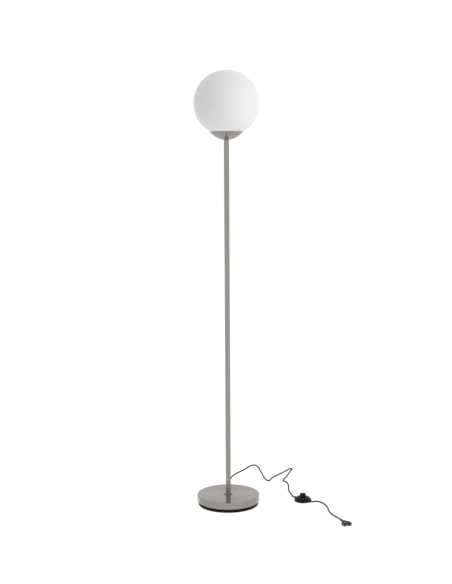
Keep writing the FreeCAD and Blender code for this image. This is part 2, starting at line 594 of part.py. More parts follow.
def make_bulb():
    """The bulb, from its tip up: solder contact, screw cap and glass."""
    tip_top = "D.bulb_tip_height - D.slip"
    tip = turned("bulb_contact", [
        ("0", "0"), ("D.bulb_tip_radius - D.bulb_tip_slope", "0"),
        ("D.bulb_tip_radius", "D.bulb_tip_edge"), ("D.bulb_tip_radius", tip_top),
        ("0", tip_top)])
    node(place(tip, z=BULB_Z))
    cap_inside = f"{BULB_CAP_RADIUS} - D.bulb_cap_wall"
    shoulder = "D.bulb_tip_height + D.bulb_cap_cone"
    cap = turned("bulb_cap", [
        ("0", "D.bulb_tip_height"), ("D.bulb_tip_radius + D.bulb_insulator", "D.bulb_tip_height"),
        (BULB_CAP_RADIUS, shoulder), (BULB_CAP_RADIUS, "D.bulb_cap_height"),
        (cap_inside, "D.bulb_cap_height"), (cap_inside, f"{shoulder} + D.bulb_cap_floor"),
        ("0", f"{shoulder} + D.bulb_cap_floor")])
    node(place(cap, z=BULB_Z))

    # a vertical neck, a hollow flare tangent to it and a round end tangent to the flare
    ball_z = "(D.bulb_length - D.bulb_radius)"
    neck_z = "(D.bulb_cap_height + D.bulb_neck_height)"
    rise = f"({ball_z} - {neck_z})"
    flare = (f"((pow({BULB_NECK_RADIUS}; 2) + pow({rise}; 2) - pow(D.bulb_radius; 2))"
             f" / (2 * (D.bulb_radius - {BULB_NECK_RADIUS})))")
    wall = "D.bulb_glass_wall"

    def meeting(round_radius):
        """Where the flare meets a round end of the given radius."""
        share = f"({round_radius} / ({flare} + D.bulb_radius))"
        return (f"({BULB_NECK_RADIUS} + {flare}) * {share}", f"{ball_z} - {rise} * {share}")

    inner_end = f"(D.bulb_radius - {wall})"
    outer = [(BULB_NECK_RADIUS, "D.bulb_cap_height"), (BULB_NECK_RADIUS, neck_z),
             meeting("D.bulb_radius") + (f"0 - {flare}",),
             ("0", "D.bulb_length", "D.bulb_radius")]
    inner = [("0", f"D.bulb_length - {wall}"), meeting(inner_end) + (f"0 - {inner_end}",),
             (f"{BULB_NECK_RADIUS} - {wall}", neck_z, f"{flare} + {wall}"),
             (f"{BULB_NECK_RADIUS} - {wall}", "D.bulb_cap_height")]
    node(place(turned("bulb_glass", outer + inner), z=BULB_Z))


# ---------------------------------------------------------------- globe
def make_globe():
    """The opal globe about its own centre, with a short open neck below."""
    inner_neck = "(D.neck_radius - D.globe_wall)"
    inner = "(D.globe_radius - D.globe_wall)"
    below = "0 - sqrt(pow({0}; 2) - pow({1}; 2))"
    globe = turned("globe_glass", [
        ("D.neck_radius", "D.neck_lift - D.globe_radius"),
        ("D.neck_radius", below.format("D.globe_radius", "D.neck_radius")),
        ("0", "D.globe_radius", "D.globe_radius"), ("0", inner),
        (inner_neck, below.format(inner, inner_neck), f"0 - {inner}"),
        (inner_neck, "D.neck_lift - D.globe_radius")])
    node(place(globe, z=GLOBE_Z))


# ---------------------------------------------------------------- lead
def cord(label, route):
    """A round cord along a route: straight runs joined by arcs as large as the runs allow."""
    points = [Vector(*point) for point in route]
    radius = number("D.cord_radius")
    edges, start, bends = [], points[0], []
    for before, corner, after in zip(points, points[1:], points[2:]):
        into, out = corner - before, after - corner
        turn = into.getAngle(out)
        shorter = min(into.Length, out.Length)
        tangent = 0.45 * shorter
        bends.append(tangent / math.tan(turn / 2))
        into.normalize()
        out.normalize()
        first, last = corner - into * tangent, corner + out * tangent
        inward = (out - into).normalize()
        depth = bends[-1] / math.cos(turn / 2) - bends[-1]
        edges.append(Part.LineSegment(start, first).toShape())
        edges.append(Part.Arc(first, corner + inward * depth, last).toShape())
        start = last
    edges.append(Part.LineSegment(start, points[-1]).toShape())
    tube = sweep_round(edges, radius)
    report_tube(label, tube, Part.Wire(edges), radius, bends)
    return feature(label, tube)


def sweep_round(edges, radius):
    """A round section swept along tangent edges."""
    wire = Part.Wire(edges)
    first = edges[0]
    along = first.tangentAt(first.FirstParameter)
    section = Part.Wire(Part.Circle(first.valueAt(first.FirstParameter), along, radius).toShape())
    return wire.makePipeShell([section], True, False)


def report_tube(label, tube, wire, radius, bends):
    """Print a tube's length, its bends and how far its volume is from section times length."""
    expected = math.pi * radius ** 2 * wire.Length
    listed = " ".join(f"{bend:.0f}" for bend in bends)
    print(f"{label}: length {wire.Length:.0f}, radii {listed},"
          f" volume ratio {tube.Volume / expected:.4f}")


def feature(label, shape, placement=None):
    """A piece whose shape is made directly."""
    piece = doc.addObject("Part::Feature", label)
    piece.Label = label
    piece.Shape = shape
    if placement:
        piece.Placement = placement
    return piece


def make_lead():
    height = number("D.cord_hole_height")
    bearing = math.radians(number("D.cord_hole_bearing"))
    outwards = Vector(math.sin(bearing), math.cos(bearing), 0)
    face = number("D.pole_radius + D.grommet_lip")
    exit_point = outwards * face + Vector(0, 0, height)

    # inside the pole: straight down from the lampholder, then out through the grommet
    bend = number("D.inner_cord_bend")
    top = Vector(0, 0, number(f"{HOLDER_Z} + D.holder_ledge"))
    corner = Vector(0, 0, height)
    down = corner + Vector(0, 0, bend)
    across = corner + outwards * bend
    middle = down + outwards * bend - (outwards + Vector(0, 0, 1)).normalize() * bend
    edges = [Part.LineSegment(top, down).toShape(), Part.Arc(down, middle, across).toShape(),
             Part.LineSegment(across, exit_point).toShape()]
    radius = number("D.cord_radius")
    inner = sweep_round(edges, radius)
    report_tube("pole_cord", inner, Part.Wire(edges), radius, [bend])
    node(feature("pole_cord", inner))

    reach = number("D.switch_radius + D.collar_reach")
    lay = math.radians(number("D.switch_bearing"))
    along = Vector(math.cos(lay), math.sin(lay), 0)
    centre = Vector(number("D.switch_x"), number("D.switch_y"), number("D.switch_cord_height"))
    node(cord("cord_to_switch", [tuple(exit_point)] + TO_SWITCH
              + [tuple(centre - along * reach)]))
    node(cord("cord_to_plug", [tuple(centre + along * reach)] + TO_PLUG + [PLUG_POINT]))


# ---------------------------------------------------------------- foot switch
def make_switch():
    side, dome = "D.switch_side", "D.switch_dome"
    wall = "D.switch_wall"
    hole = "(D.button_radius + D.button_clearance)"
    inside = f"(D.switch_radius - {wall})"
    shell = turned("switch_shell", [
        (inside, SWITCH_PLATE_Z), ("D.switch_radius - D.switch_foot_edge", SWITCH_PLATE_Z),
        ("D.switch_radius", f"{SWITCH_PLATE_Z} + D.switch_foot_edge"), ("D.switch_radius", side),
        ("D.switch_crown", dome, "D.switch_dome_arc"), (hole, dome), (hole, f"{dome} - {wall}"),
        ("D.switch_crown", f"{dome} - {wall}"),
        (inside, f"{side} - {wall} / 2", f"0 - (D.switch_dome_arc - {wall})")])
    pieces, bores, screws, sinks = [shell], [], [], []
    for index, turn in enumerate((0, 180)):
        sign = 1 - 2 * index
        collar = cylinder(f"switch_collar_{index + 1}", "D.collar_radius",
                          f"D.collar_reach + {wall}")
        lay_along(collar, sign, inside)
        pieces.append(collar)
        bore = cylinder(f"switch_bore_{index + 1}", "D.cord_radius + D.slip", "D.switch_radius")
        lay_along(bore, sign, "D.collar_reach * 2")
        bores.append(bore)
    for index in range(4):
        x, y = on_circle("D.switch_radius - D.switch_screw_inset", 45 + 90 * index)
        post = cylinder(f"switch_post_{index + 1}", "D.switch_post_radius",
                        "D.switch_pilot + D.switch_post_cap")
        pieces.append(place(post, x, y, SWITCH_FLOOR))
        pilot = cylinder(f"switch_pilot_{index + 1}", "D.switch_screw_radius + D.slip",
                         "D.switch_pilot")
        bores.append(place(pilot, x, y, SWITCH_FLOOR))
        fixing = screw(f"switch_screw_{index + 1}", "D.switch_screw_head",
                       "D.switch_screw_head_height", "D.switch_screw_radius",
                       "D.switch_plate_height - D.switch_screw_head_height"
                       " + D.switch_screw_grip")
        screws.append(place(fixing, x, y, SWITCH_PLATE_Z))
        sink = screw(f"switch_sink_{index + 1}", "D.switch_screw_head + D.switch_sink_gap",
                     "D.switch_screw_head_height", "D.switch_screw_radius + D.slip",
                     "D.switch_plate_height")
        sinks.append(place(sink, x, y))
    node(at_switch(less("switch_housing", joined("switch_shell_posts", pieces), bores)))
    node(at_switch(group("switch_screws", screws)))

    disc = turned("switch_disc", [
        ("0", "0"), (f"{inside} - D.rest_gap", "0"),
        (f"{inside} - D.rest_gap", "D.switch_plate_height"),
        ("D.spring_radius - D.spring_wire - D.rest_gap", "D.switch_plate_height"),
        ("D.spring_radius - D.spring_wire - D.rest_gap",
         "D.switch_plate_height + D.spring_boss_height"),
        ("0", "D.switch_plate_height + D.spring_boss_height")])
    node(at_switch(less("switch_plate", disc, sinks), SWITCH_PLATE_Z))
    feet = []
    for index in range(4):
        x, y = on_circle("D.switch_foot_circle", 90 * index)
        foot = cylinder(f"switch_foot_{index + 1}", "D.switch_foot_radius",
                        "D.switch_foot_height")
        feet.append(place(foot, x, y))
    node(at_switch(group("switch_feet", feet)))

    height = f"(D.button_top - {BUTTON_Z})"
    hollow = "(D.button_radius - D.button_wall)"
    crown_edge = "(D.button_radius - D.button_edge)"
    under = f"({height} - D.button_crown - D.button_wall)"
    button = turned("switch_button", [
        (hollow, "0"), ("D.button_flange", "0"), ("D.button_flange", "D.button_flange_height"),
        ("D.button_radius", "D.button_flange_height"),
        ("D.button_radius", f"{height} - D.button_edge - D.button_crown"),
        (crown_edge, f"{height} - D.button_crown", "D.button_edge"),
        ("0", height, f"((pow({crown_edge}; 2) + pow(D.button_crown; 2)) / (2 * D.button_crown))"),
        ("0", under), (hollow, under)])
    node(at_switch(button, BUTTON_Z))
    spring = ring("switch_spring", "D.spring_radius - D.spring_wire", "D.spring_radius",
                  f"{BUTTON_Z} + {under} - {SWITCH_FLOOR}")
    node(at_switch(spring, SWITCH_FLOOR))
    make_switch_inside()


def lay_along(piece, sign, start):
    """Lay a rod along the foot switch's X axis at the lead's height, outwards from start."""
    piece.Placement = Placement(Vector(), Rotation(Vector(0, 0, 1), Vector(sign, 0, 0)))
    piece.setExpression("Placement.Base.x", f"{sign} * ({start})")
    piece.setExpression("Placement.Base.z", "D.switch_cord_height")


def make_switch_inside():
    """Terminals, contacts, lead ends and cord clamps, one set to each side of the button."""
    end = f"({TERMINAL_START} + D.terminal_length)"
    clamp_start = f"({end} + D.clamp_gap)"
    terminals, screws, clamps, leads, contacts = [], [], [], [], []
    for index, sign in enumerate((1, -1)):
        def mirrored(start, length):
            """Where a block of a given length starts, on this side of the button."""
            return f"{start}" if sign > 0 else f"0 - {start} - {length}"
        side = str(index + 1)
        block = box("terminal_" + side, "D.terminal_length", "D.terminal_width",
                    "D.terminal_height")
        place(block, mirrored(TERMINAL_START, "D.terminal_length"),
              "0 - D.terminal_width / 2", SWITCH_FLOOR)
        terminals.append(block)
        for step, across in enumerate((-0.5, 0.5)):
            head = cylinder(f"terminal_screw_{side}_{step + 1}", "D.terminal_screw_radius",
                            "D.terminal_screw_height")
            place(head, f"{sign} * ({TERMINAL_START} + D.terminal_length / 2)",
                  f"D.terminal_screw_spacing * {across}", f"{SWITCH_FLOOR} + D.terminal_height")
            screws.append(head)
        bridge = box("clamp_bridge_" + side, "D.clamp_length", "D.clamp_width",
                     f"D.switch_cord_height + D.cord_radius + D.slip + D.clamp_bar"
                     f" - {SWITCH_FLOOR}")
        place(bridge, mirrored(clamp_start, "D.clamp_length"), "0 - D.clamp_width / 2",
              SWITCH_FLOOR)
        gap = box("clamp_gap_" + side, "D.clamp_length", "2 * (D.cord_radius + D.slip)",
                  f"D.switch_cord_height + D.cord_radius + D.slip - {SWITCH_FLOOR}")
        place(gap, mirrored(clamp_start, "D.clamp_length"), "0 - D.cord_radius - D.slip",
              SWITCH_FLOOR)
        clamps.append(less("cord_clamp_" + side, bridge, [gap]))
        lead = cylinder("switch_lead_" + side, "D.cord_radius",
                        f"D.switch_radius + D.collar_reach - {end}")
        lay_along(lead, sign, end)
        leads.append(lead)
        strip_length = f"({TERMINAL_START} - D.contact_reach)"
        strip = box("contact_strip_" + side, strip_length, "D.contact_width",
                    "D.contact_strip")
        place(strip, mirrored("D.contact_reach", strip_length),
              "0 - D.contact_width / 2", SWITCH_FLOOR)
        upright = box("contact_upright_" + side, "D.contact_strip", "D.contact_width",
                      f"{BUTTON_Z} - D.button_travel - 2 * D.rest_gap - {SWITCH_FLOOR}")
        place(upright, mirrored("D.contact_reach", "D.contact_strip"),
              "0 - D.contact_width / 2", SWITCH_FLOOR)
        contacts.append(joined("switch_contact_" + side, [strip, upright]))
    node(at_switch(group("switch_terminals", terminals)))
    node(at_switch(group("terminal_screws", screws)))
    node(at_switch(group("cord_clamps", clamps)))
    node(at_switch(group("switch_leads", leads)))
    node(at_switch(group("switch_contacts", contacts)))


# ---------------------------------------------------------------- plug
def make_plug():
    """The plug lies flat on the floor at the lead's end, in line with its last run."""
    last = Vector(*TO_PLUG[-1])
    point = Vector(*PLUG_POINT)
    heading = str(math.degrees(math.atan2(point.y - last.y, point.x - last.x)))
    cos, sin = f"cos({heading})", f"sin({heading})"

    relief = doc.addObject("Part::Cone", "plug_relief")
    relief.Label = "plug_relief"
    relief.setExpression("Radius1", "D.relief_end_radius")
    relief.setExpression("Radius2", "D.relief_root_radius")
    relief.setExpression("Height", "D.relief_length")
    level = Vector(point.x - last.x, point.y - last.y, 0)
    relief.Placement = Placement(point, Rotation(Vector(0, 0, 1), level))
    node(relief)

    half, back = "D.plug_width / 2", "D.plug_back_width / 2"
    body = padded("plug_body", [
        ("0", f"0 - {back}"), ("D.plug_shoulder", f"0 - {half}"),
        ("D.plug_length", f"0 - {half}"), ("D.plug_length", half), ("D.plug_shoulder", half),
        ("0", back)], "D.plug_height", "XY_Plane")
    doc.recompute()
    pad = body.Tip
    rounding = body.newObject("PartDesign::Fillet", "plug_rounding")
    rounding.Base = (pad, [
        f"Edge{index + 1}" for index, edge in enumerate(pad.Shape.Edges)
        if edge.BoundBox.XMin < number("D.plug_length") - 1])
    rounding.setExpression("Radius", "D.plug_edge")
    place(body, f"{point.x} + D.relief_length * {cos}", f"{point.y} + D.relief_length * {sin}",
          "D.plug_height / 2", heading)
    node(body)

    pins = []
    for index, side in enumerate((-0.5, 0.5)):
        pin = turned(f"plug_pin_{index + 1}", [
            ("0", "0"), ("D.pin_radius", "0"), ("D.pin_radius", "D.pin_length - D.pin_radius"),
            ("0", "D.pin_length", "D.pin_radius")])
        pin.Placement = Placement(Vector(), Rotation(Vector(0, 0, 1), Vector(1, 0, 0)))
        pin.setExpression("Placement.Base.y", f"D.pin_spacing * {side}")
        pins.append(pin)
    reach = "(D.relief_length + D.plug_length)"
    node(place(group("plug_pins", pins), f"{point.x} + {reach} * {cos}",
               f"{point.y} + {reach} * {sin}", "D.plug_height / 2", heading))


# ---------------------------------------------------------------- build, check and write
def check(pieces):
    """Stop if anything failed to build."""
    failed = [item.Name for item in doc.Objects
              if any(word in item.State for word in ("Invalid", "Error"))]
    failed += [piece.Label for piece in pieces
               if piece.Shape.isNull() or not piece.Shape.isValid() or not piece.Shape.Solids]
    if failed:
        raise RuntimeError("failed to build: " + ", ".join(failed))


make_base()
make_pole()
make_cup()
make_lampholder()
make_bulb()
make_globe()
make_lead()
make_switch()
make_plug()
doc.recompute()
check(nodes)
for piece in nodes:
    piece.Shape.exportStep(f"parts/{piece.Label}.step")
print(len(nodes), "nodes; overall height",
      round(number(f"{GLOBE_Z} + D.globe_radius"), 1))
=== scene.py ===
"""The globe floor lamp's looks: materials, plug, threads, spring, cords, camera and light."""
import bmesh
import bpy
import json
import math
from mathutils import Matrix, Vector


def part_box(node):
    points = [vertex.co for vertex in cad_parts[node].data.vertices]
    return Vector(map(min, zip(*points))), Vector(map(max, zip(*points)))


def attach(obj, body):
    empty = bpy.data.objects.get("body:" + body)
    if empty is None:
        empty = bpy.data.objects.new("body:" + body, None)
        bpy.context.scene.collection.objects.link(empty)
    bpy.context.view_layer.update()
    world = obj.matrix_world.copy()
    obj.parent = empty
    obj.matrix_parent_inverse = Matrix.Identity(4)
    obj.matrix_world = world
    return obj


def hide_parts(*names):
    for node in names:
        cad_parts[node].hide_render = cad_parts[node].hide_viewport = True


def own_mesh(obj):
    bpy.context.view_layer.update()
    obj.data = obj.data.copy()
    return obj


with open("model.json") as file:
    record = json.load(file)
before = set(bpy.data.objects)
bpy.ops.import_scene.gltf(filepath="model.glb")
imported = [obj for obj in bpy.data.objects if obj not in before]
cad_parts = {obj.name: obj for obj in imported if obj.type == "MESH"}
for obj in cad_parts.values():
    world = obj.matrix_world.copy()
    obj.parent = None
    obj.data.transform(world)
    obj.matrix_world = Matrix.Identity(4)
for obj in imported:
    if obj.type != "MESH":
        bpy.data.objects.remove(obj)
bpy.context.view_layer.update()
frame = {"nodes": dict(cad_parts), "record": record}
nodes = frame["nodes"]
MM = 0.001


# ---------------------------------------------------------------- node helpers
def shader(name, roughness, metallic=0.0):
    """A new material with its Principled shader, as (material, tree, shader)."""
    material = bpy.data.materials.new(name)
    material.use_nodes = True
    tree = material.node_tree
    principled = tree.nodes["Principled BSDF"]
    principled.inputs["Roughness"].default_value = roughness
    principled.inputs["Metallic"].default_value = metallic
    return material, tree, principled


def link(tree, output, target):
    tree.links.new(output, target)


def value_of(tree, operation, *inputs):
    """A Math node; each input is a number or a socket."""
    node = tree.nodes.new("ShaderNodeMath")
    node.operation = operation
    for slot, item in zip(node.inputs, inputs):
        if isinstance(item, (int, float)):
            slot.default_value = item
        else:
            link(tree, item, slot)
    return node.outputs[0]


def product(tree, first, second):
    return value_of(tree, "MULTIPLY", first, second)


def total(tree, first, second):
    return value_of(tree, "ADD", first, second)


def position(tree):
    """The point on the surface, in metres from the lamp's foot."""
    return tree.nodes.new("ShaderNodeTexCoord").outputs["Object"]


def noise(tree, vector, scale, detail=2.0, roughness=0.5):
    """A noise pattern's value from 0 to 1."""
    node = tree.nodes.new("ShaderNodeTexNoise")
    node.inputs["Scale"].default_value = scale
    node.inputs["Detail"].default_value = detail
    node.inputs["Roughness"].default_value = roughness
    link(tree, vector, node.inputs["Vector"])
    return node.outputs["Fac"]


def spread(tree, value, low, high, start=0.0, end=1.0):
    """A pattern's value from start to end, mapped to low to high."""
    node = tree.nodes.new("ShaderNodeMapRange")
    limits = {"From Min": start, "From Max": end, "To Min": low, "To Max": high}
    for name, number in limits.items():
        node.inputs[name].default_value = number
    link(tree, value, node.inputs["Value"])
    return node.outputs[0]


def tint(tree, value, dark, light):
    """A colour between dark and light."""
    node = tree.nodes.new("ShaderNodeValToRGB")
    node.color_ramp.elements[0].color = (*dark, 1)
    node.color_ramp.elements[1].color = (*light, 1)
    link(tree, value, node.inputs[0])
    return node.outputs[0]


def bump(tree, principled, height, distance, strength=1.0):
    """Raise the surface by a pattern, at most by distance in metres."""
    node = tree.nodes.new("ShaderNodeBump")
    node.inputs["Strength"].default_value = strength
    node.inputs["Distance"].default_value = distance
    link(tree, height, node.inputs["Height"])
    link(tree, node.outputs[0], principled.inputs["Normal"])


AXIS_RADIUS = 1e-5         # keeps the division by the radius safe on the axis


def around_z(tree, slow, fast):
    """Coordinates for marks that run round the lamp's axis: slow along a turn, fast across it."""
    split = tree.nodes.new("ShaderNodeSeparateXYZ")
    link(tree, position(tree), split.inputs[0])
    x, y, z = split.outputs
    radius = value_of(tree, "SQRT", total(tree, product(tree, x, x), product(tree, y, y)))
    safe = value_of(tree, "MAXIMUM", radius, AXIS_RADIUS)
    joined = tree.nodes.new("ShaderNodeCombineXYZ")
    for slot, side in zip(joined.inputs, (x, y)):
        link(tree, product(tree, value_of(tree, "DIVIDE", side, safe), slow), slot)
    link(tree, product(tree, value_of(tree, "SUBTRACT", radius, z), fast), joined.inputs[2])
    return joined.outputs[0]


# ---------------------------------------------------------------- materials
RING_SHARE = 0.7           # of the brushing's marks; the coarse ones have the rest
COARSE_STEP = 9            # how much wider the coarse marks are
ACROSS_RINGS = 0.25        # a quarter turn: the reflection stretches across the rings
BUMP_SHARE = 0.5           # strength of a smooth surface's bump
METAL_GRAIN_BUMP, MOULDED_GRAIN_BUMP = 0.6, 0.7
# sizes of the patterns: lumps, clouds and waves a metre
SMUDGES, METAL_PATCHES, MOULDED_PATCHES, CAST_LUMPS = 14, 60, 25, 180
OPAL_CLOUDS, OPAL_WAVES, PAPER_CLOUDS = 9, 22, 3
COAT_ROUGHNESS = 0.12
GLASS_IOR = 1.5
OPAL_SHARE, OPAL_DEPTH = 0.25, 0.004    # light that spreads inside, and how far in metres


def spun_metal(name, dark, light, roughness, brushing, anisotropy, depth):
    """Metal brushed round its own axis: fine rings that stretch a reflection across them."""
    material, tree, principled = shader(name, roughness, 1.0)
    rings = noise(tree, around_z(tree, 1.2, brushing), 1.0, 3.0, 0.65)
    coarse = noise(tree, around_z(tree, 0.8, brushing / COARSE_STEP), 1.0, 2.0)
    smudge = noise(tree, position(tree), SMUDGES, 3.0)
    grain = total(tree, product(tree, rings, RING_SHARE),
                  product(tree, coarse, 1 - RING_SHARE))
    link(tree, tint(tree, grain, dark, light), principled.inputs["Base Color"])
    worn = total(tree, spread(tree, rings, roughness - 0.05, roughness + 0.07),
                 spread(tree, smudge, -0.03, 0.04, 0.3, 0.7))
    link(tree, worn, principled.inputs["Roughness"])
    principled.inputs["Anisotropic"].default_value = anisotropy
    principled.inputs["Anisotropic Rotation"].default_value = ACROSS_RINGS
    tangent = tree.nodes.new("ShaderNodeTangent")
    tangent.direction_type = "RADIAL"
    tangent.axis = "Z"
    link(tree, tangent.outputs[0], principled.inputs["Tangent"])
    bump(tree, principled, grain, depth, BUMP_SHARE)
    return material


def plain_metal(name, dark, light, roughness, scale=900, depth=6e-6):
    """A small metal piece with a fine even grain."""
    material, tree, principled = shader(name, roughness, 1.0)
    grain = noise(tree, position(tree), scale, 3.0)
    patches = noise(tree, position(tree), METAL_PATCHES, 2.0)
    link(tree, tint(tree, patches, dark, light), principled.inputs["Base Color"])
    link(tree, spread(tree, patches, roughness - 0.06, roughness + 0.08),
         principled.inputs["Roughness"])
    bump(tree, principled, grain, depth, METAL_GRAIN_BUMP)
    return material


def moulded(name, dark, light, roughness, grain_size, depth, coat=0.0, gloss=0.5):
    """Plastic or rubber with a fine moulded grain."""
    material, tree, principled = shader(name, roughness)
    grain = noise(tree, position(tree), 1 / grain_size, 2.0)
    patches = noise(tree, position(tree), MOULDED_PATCHES, 3.0)
    link(tree, tint(tree, patches, dark, light), principled.inputs["Base Color"])
    worn = total(tree, spread(tree, grain, roughness - 0.05, roughness + 0.05),
                 spread(tree, patches, -0.03, 0.05, 0.3, 0.7))
    link(tree, worn, principled.inputs["Roughness"])
    principled.inputs["Specular IOR Level"].default_value = gloss
    principled.inputs["Coat Weight"].default_value = coat
    principled.inputs["Coat Roughness"].default_value = COAT_ROUGHNESS
    bump(tree, principled, grain, depth, MOULDED_GRAIN_BUMP)
    return material


def cast(name, dark, light):
    """Rough painted cast iron."""
    material, tree, principled = shader(name, 0.7)
    coarse = noise(tree, position(tree), CAST_LUMPS, 5.0, 0.6)
    link(tree, tint(tree, coarse, dark, light), principled.inputs["Base Color"])
    link(tree, spread(tree, coarse, 0.55, 0.85), principled.inputs["Roughness"])
    bump(tree, principled, coarse, 2e-4)
    return material


def opal(name, dark, light, roughness, depth, gloss=0.5):
    """White opal glass: light spreads a little way in, under a smooth satin skin."""
    material, tree, principled = shader(name, roughness)
    cloud = noise(tree, position(tree), OPAL_CLOUDS, 3.0)
    waves = noise(tree, position(tree), OPAL_WAVES, 1.0)
    link(tree, tint(tree, cloud, dark, light), principled.inputs["Base Color"])
    link(tree, spread(tree, cloud, roughness - 0.04, roughness + 0.05),
         principled.inputs["Roughness"])
    principled.inputs["IOR"].default_value = GLASS_IOR
    principled.inputs["Specular IOR Level"].default_value = gloss
    principled.inputs["Subsurface Weight"].default_value = OPAL_SHARE
    principled.inputs["Subsurface Radius"].default_value = (OPAL_DEPTH,) * 3
    principled.inputs["Subsurface Scale"].default_value = 1.0
    bump(tree, principled, waves, depth, BUMP_SHARE)
    return material


SLOT_MATERIALS = {
    "brushed_steel": spun_metal("brushed_steel", (0.27, 0.25, 0.23), (0.33, 0.31, 0.285),
                                0.22, 5200, 0.8, 4e-6),
    "cast_iron": cast("cast_iron", (0.012, 0.012, 0.013), (0.03, 0.03, 0.031)),
    "black_plastic": moulded("black_plastic", (0.003, 0.003, 0.003), (0.006, 0.006, 0.006),
                             0.62, 4e-4, 3e-5, gloss=0.12),
    "rubber": moulded("rubber", (0.010, 0.010, 0.010), (0.02, 0.02, 0.02), 0.75, 6e-4, 4e-5),
    "zinc_steel": plain_metal("zinc_steel", (0.52, 0.53, 0.54), (0.66, 0.67, 0.68), 0.34),
    "spring_steel": plain_metal("spring_steel", (0.34, 0.34, 0.36), (0.46, 0.46, 0.48), 0.28),
    "brass": plain_metal("brass", (0.60, 0.43, 0.19), (0.76, 0.58, 0.30), 0.3),
    "ceramic": moulded("ceramic", (0.74, 0.72, 0.68), (0.84, 0.82, 0.78), 0.3, 9e-4, 1e-5, 0.6),
    "opal_glass": opal("opal_glass", (0.80, 0.80, 0.80), (0.84, 0.84, 0.845), 0.5, 8e-5, 0.35),
    "bulb_opal": opal("bulb_opal", (0.82, 0.81, 0.79), (0.88, 0.87, 0.85), 0.4, 2e-5),
    "bulb_metal": plain_metal("bulb_metal", (0.62, 0.62, 0.62), (0.76, 0.76, 0.75), 0.26),
    "solder": plain_metal("solder", (0.42, 0.42, 0.42), (0.55, 0.55, 0.54), 0.5, 300, 4e-5),
    "cord_jacket": moulded("cord_jacket", (0.003, 0.003, 0.003), (0.006, 0.006, 0.006),
                           0.5, 5e-4, 2e-5, gloss=0.12),
    "switch_plastic": moulded("switch_plastic", (0.003, 0.003, 0.003), (0.005, 0.005, 0.005),
                              0.38, 5e-4, 6e-6, gloss=0.14),
    "plug_plastic": moulded("plug_plastic", (0.009, 0.009, 0.010), (0.014, 0.014, 0.015),
                            0.45, 4e-4, 3e-5),
    "nickel_brass": plain_metal("nickel_brass", (0.60, 0.58, 0.53), (0.72, 0.70, 0.66), 0.2),
}
for part in frame["record"]["subparts"]:
    mesh = nodes[part["node"]].data
    mesh.materials.clear()
    mesh.materials.append(SLOT_MATERIALS[part["material_slot"]])
# the cup is brushed more coarsely than the base, and the flange at the pole's foot is
# polished, with its colour made darker than the pole's as painted shade, so that it shows
SPUN_FINISHES = {
    "cup": spun_metal("spun_cup", (0.27, 0.25, 0.23), (0.33, 0.31, 0.285),
                      0.24, 3600, 0.88, 4e-6),
    # the flange's darker colours are painted shade, not the steel's own colour
    "pole_flange": spun_metal("polished_flange_painted_shade", (0.24, 0.216, 0.19), (0.31, 0.285, 0.255),
                              0.12, 5200, 0.4, 2e-6),
}
for node_name, finish in SPUN_FINISHES.items():
    nodes[node_name].data.materials[0] = finish


# ---------------------------------------------------------------- piece helpers
SHARP_ANGLE = math.radians(38)          # an edge that turns more than this shows as an edge
UP = Vector((0, 0, 1))


def finished(piece, body, slot, *stands_for):
    """Give a new piece its material, its body and the CAD nodes that it stands for."""
    piece.data.materials.clear()
    piece.data.materials.append(SLOT_MATERIALS[slot])
    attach(piece, body)
    if stands_for:
        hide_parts(*stands_for)
    return piece


def skin(name, rings, closed="ends"):
    """A mesh over rings of points: its end rings are filled, or joined to one another."""
    build = bmesh.new()
    rows = [[build.verts.new(point) for point in ring] for ring in rings]
    if closed == "loop":
        rows.append(rows[0])
    for lower, upper in zip(rows, rows[1:]):
        for index in range(len(lower)):
            after = (index + 1) % len(lower)
            build.faces.new((lower[index], lower[after], upper[after], upper[index]))
    if closed == "ends":
        build.faces.new(list(reversed(rows[0])))
        build.faces.new(rows[-1])
    bmesh.ops.recalc_face_normals(build, faces=build.faces)
    for face in build.faces:
        face.smooth = True
    for edge in build.edges:
        edge.smooth = edge.calc_face_angle(0.0) < SHARP_ANGLE
    mesh = bpy.data.meshes.new(name)
    build.to_mesh(mesh)
    build.free()
    piece = bpy.data.objects.new(name, mesh)
    bpy.context.scene.collection.objects.link(piece)
    return piece


def ring_round(centre, across, up, width, height, count=48, power=1.0):
    """A ring of points about a centre: an ellipse, or nearer to a box with a lower power."""
    points = []
    for index in range(count):
        angle = math.tau * index / count
        cos, sin = math.cos(angle), math.sin(angle)
        points.append(centre + across * width * math.copysign(abs(cos) ** power, cos)
                      + up * height * math.copysign(abs(sin) ** power, sin))
    return points


def smooth_step(value):
    """0 below 0, 1 above 1 and a soft rise between them."""
    value = min(1.0, max(0.0, value))
    return value * value * (3 - 2 * value)


# ---------------------------------------------------------------- plug
PLUG_RELIEF_LENGTH, PLUG_LENGTH = 24.0, 36.0
RELIEF_RADII = (3.6, 5.0)
RELIEF_GROOVES, RELIEF_GROOVE_DEPTH = 6, 0.9
# one rib and its groove, as (share of the length, share of the groove's depth)
RELIEF_PROFILE = ((0.0, 0.25), (0.06, 0.0), (0.54, 0.0), (0.6, 0.25), (0.62, 1.0), (0.98, 1.0))
RELIEF_SKIN = 0.1          # the least cover over the cord
PLUG_HALF_WIDTHS, PLUG_HALF_HEIGHTS = (6.8, 17.5), (5.4, 7.0)
PLUG_SHOULDER = 22.0       # where the body reaches its full width
GRIP_START, GRIP_END, GRIP_PITCH, GRIP_DEPTH = 4.0, 18.0, 2.0, 0.5
PLUG_ROUNDING, PLUG_BOXINESS, PLUG_STEPS = 1.6, 0.45, 144


